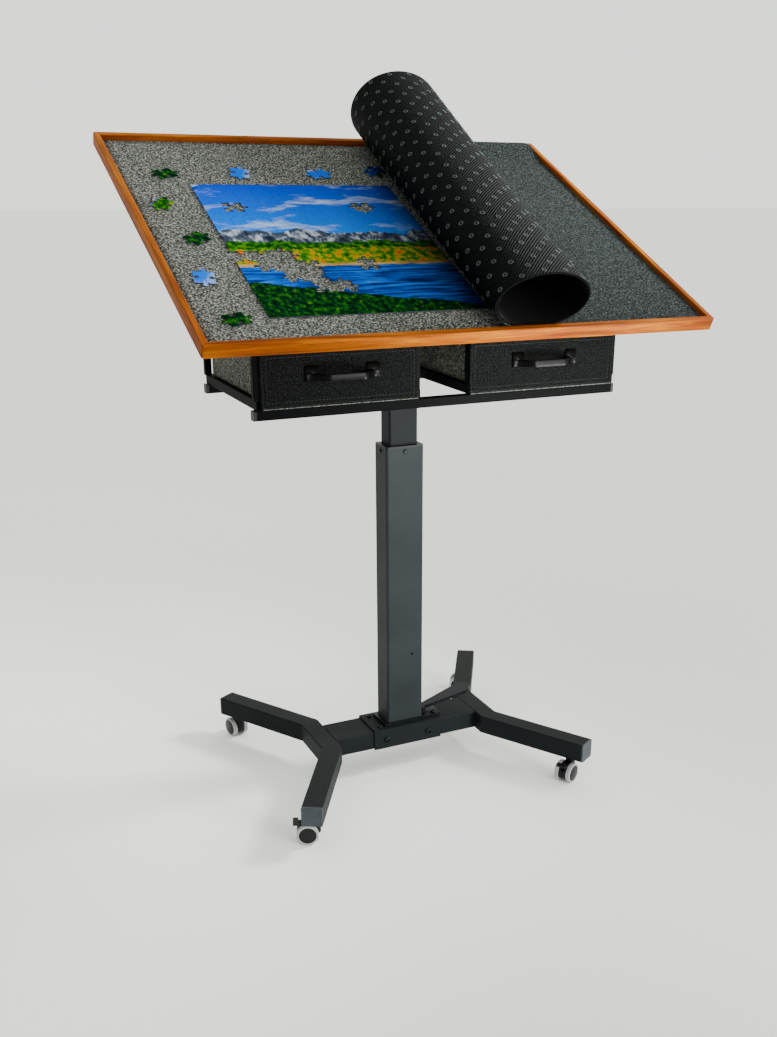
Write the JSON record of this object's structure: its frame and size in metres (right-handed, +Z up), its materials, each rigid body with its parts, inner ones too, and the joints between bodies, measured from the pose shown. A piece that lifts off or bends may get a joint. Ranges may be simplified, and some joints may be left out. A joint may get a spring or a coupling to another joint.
{
  "type": "jigsaw puzzle table",
  "caption": "Jigsaw puzzle table with a tilting felt board in a wood rim, felt drawers in a rack and a lifting column on a wheeled base.",
  "frame": {"origin": "on the floor, on the axis of the lifting column", "axes": "+Z up, +X to the user's right, the user stands on the -Y side"},
  "size_m": [0.9, 0.6748, 1.3107],
  "materials": {
    "steel": "charcoal powder coat, fine texture",
    "bright_steel": "zinc plated",
    "black_hardware": "black oxide",
    "chrome_rod": "hard chromed and ground",
    "black_plastic": "moulded, fine texture",
    "hub_plastic": "moulded, satin",
    "tread": "light grey polyurethane",
    "rubber": "matte",
    "felt_dark": "heathered needle felt",
    "felt_grey": "heathered needle felt",
    "mat_felt": "heathered felt with a dotted rubber back",
    "strap": "woven binding",
    "rim_wood": "honey varnish",
    "panel_wood": "raw fibreboard",
    "puzzle_card": "printed card"
  },
  "bodies": {
    "base": {"left_yoke": "steel", "right_yoke": "steel", "leg_end_caps": "black_plastic", "caster_stems": "bright_steel", "base_beam": "steel", "centre_bracket": "steel", "column_base_plate": "black_hardware", "base_fasteners": "black_hardware", "outer_column": "steel", "column_collar": "black_plastic", "rod_anchor": "bright_steel", "gas_rod": "chrome_rod", "pedal_bracket": "black_hardware"},
    "pedal": {"foot_pedal": "black_hardware"},
    "release": {"release_pin": "bright_steel"},
    "lift": {"inner_column": "steel", "column_shoe": "black_plastic", "gas_cylinder": "black_hardware", "head_plate": "steel", "head_screws": "black_hardware", "long_rails": "steel", "rail_end_caps": "black_plastic", "cross_rails": "steel", "rack_posts": "steel", "top_frame": "steel", "hinge_leaves_lower": "bright_steel", "slot_guides": "steel", "rest_bumpers": "rubber"},
    "left_drawer": {"left_drawer_box": "felt_dark", "left_drawer_front": "felt_dark", "left_drawer_handle": "strap"},
    "right_drawer": {"right_drawer_box": "felt_dark", "right_drawer_front": "felt_dark", "right_drawer_handle": "strap"},
    "board": {"board_panel": "panel_wood", "board_felt": "felt_grey", "board_rim": "rim_wood", "hinge_leaves_upper": "bright_steel", "stay_brackets": "steel", "puzzle_sheet": "puzzle_card", "loose_pieces": "puzzle_card"},
    "mat": {"cover_mat": "mat_felt"},
    "left_stay": {"left_stay": "steel"},
    "right_stay": {"right_stay": "steel"},
    "left_knob": {"left_stay_knob": "black_plastic"},
    "right_knob": {"right_stay_knob": "black_plastic"},
    "caster_left_front": {"caster_housing_left_front": "black_plastic"},
    "wheels_left_front": {"caster_hubs_left_front": "hub_plastic", "caster_treads_left_front": "tread"},
    "brake_left_front": {"brake_lever_left_front": "black_plastic"},
    "caster_right_front": {"caster_housing_right_front": "black_plastic"},
    "wheels_right_front": {"caster_hubs_right_front": "hub_plastic", "caster_treads_right_front": "tread"},
    "brake_right_front": {"brake_lever_right_front": "black_plastic"},
    "caster_left_back": {"caster_housing_left_back": "black_plastic"},
    "wheels_left_back": {"caster_hubs_left_back": "hub_plastic", "caster_treads_left_back": "tread"},
    "caster_right_back": {"caster_housing_right_back": "black_plastic"},
    "wheels_right_back": {"caster_hubs_right_back": "hub_plastic", "caster_treads_right_back": "tread"}
  },
  "joints": [
    {"name": "column_lift", "type": "slide", "parent": "base", "child": "lift", "axis": [0, 0, 1], "range_m": [-0.085, 0.3]},
    {"name": "pedal_press", "type": "hinge", "parent": "base", "child": "pedal", "pos_m": [0.046, 0, 0.103], "axis": [0, 1, 0], "range_deg": [0, 6], "stiffness_Nm_per_rad": 8, "springref_deg": -5.73},
    {"name": "release_lift", "type": "slide", "parent": "base", "child": "release", "axis": [0, 0, 1], "range_m": [0, 0.005]},
    {"name": "left_drawer_slide", "type": "slide", "parent": "lift", "child": "left_drawer", "axis": [0, -1, 0], "range_m": [0, 0.18]},
    {"name": "right_drawer_slide", "type": "slide", "parent": "lift", "child": "right_drawer", "axis": [0, -1, 0], "range_m": [0, 0.18]},
    {"name": "board_tilt", "type": "hinge", "parent": "lift", "child": "board", "pos_m": [0, -0.19, 0.937], "axis": [1, 0, 0], "range_deg": [-24.4, 0]},
    {"name": "mat_lift_off", "type": "slide", "parent": "board", "child": "mat", "axis": [0, -0.4131, 0.9107], "range_m": [0, 0.15]},
    {"name": "left_stay_turn", "type": "hinge", "parent": "board", "child": "left_stay", "pos_m": [-0.3145, -0.07549, 0.97288], "axis": [1, 0, 0], "range_deg": [0, 48.8]},
    {"name": "right_stay_turn", "type": "hinge", "parent": "board", "child": "right_stay", "pos_m": [0.3145, -0.07549, 0.97288], "axis": [1, 0, 0], "range_deg": [0, 48.8]},
    {"name": "left_knob_turn", "type": "hinge", "parent": "left_stay", "child": "left_knob", "pos_m": [-0.306, 0.02694, 0.91036], "axis": [-1, 0, 0], "continuous": true},
    {"name": "right_knob_turn", "type": "hinge", "parent": "right_stay", "child": "right_knob", "pos_m": [0.306, 0.02694, 0.91036], "axis": [1, 0, 0], "continuous": true},
    {"name": "swivel_left_front", "type": "hinge", "parent": "base", "child": "caster_left_front", "pos_m": [-0.27303, -0.22878, 0.045], "axis": [0, 0, 1], "continuous": true},
    {"name": "brake_left_front", "type": "hinge", "parent": "caster_left_front", "child": "brake_left_front", "pos_m": [-0.29276, -0.22159, 0.033], "axis": [0.342, 0.9397, 0], "range_deg": [0, 18]},
    {"name": "roll_left_front", "type": "hinge", "parent": "caster_left_front", "child": "wheels_left_front", "pos_m": [-0.28713, -0.22365, 0.02], "axis": [-0.342, -0.9397, 0], "continuous": true},
    {"name": "swivel_right_front", "type": "hinge", "parent": "base", "child": "caster_right_front", "pos_m": [0.27303, -0.22878, 0.045], "axis": [0, 0, 1], "continuous": true},
    {"name": "brake_right_front", "type": "hinge", "parent": "caster_right_front", "child": "brake_right_front", "pos_m": [0.25449, -0.23864, 0.033], "axis": [-0.4695, 0.8829, 0], "range_deg": [0, 18]},
    {"name": "roll_right_front", "type": "hinge", "parent": "caster_right_front", "child": "wheels_right_front", "pos_m": [0.25979, -0.23582, 0.02], "axis": [0.4695, -0.8829, 0], "continuous": true},
    {"name": "swivel_left_back", "type": "hinge", "parent": "base", "child": "caster_left_back", "pos_m": [-0.27303, 0.22878, 0.045], "axis": [0, 0, 1], "continuous": true},
    {"name": "roll_left_back", "type": "hinge", "parent": "caster_left_back", "child": "wheels_left_back", "pos_m": [-0.27666, 0.24333, 0.02], "axis": [-0.9703, -0.2419, 0], "continuous": true},
    {"name": "swivel_right_back", "type": "hinge", "parent": "base", "child": "caster_right_back", "pos_m": [0.27303, 0.22878, 0.045], "axis": [0, 0, 1], "continuous": true},
    {"name": "roll_right_back", "type": "hinge", "parent": "caster_right_back", "child": "wheels_right_back", "pos_m": [0.26004, 0.23628, 0.02], "axis": [-0.5, -0.866, 0], "continuous": true}
  ],
  "couplings": [
    {"joint": "release_lift", "follows": "pedal_press", "m_per_rad": 0.046},
    {"joint": "left_stay_turn", "follows": "board_tilt", "ratio": -2},
    {"joint": "right_stay_turn", "follows": "board_tilt", "ratio": -2}
  ]
}
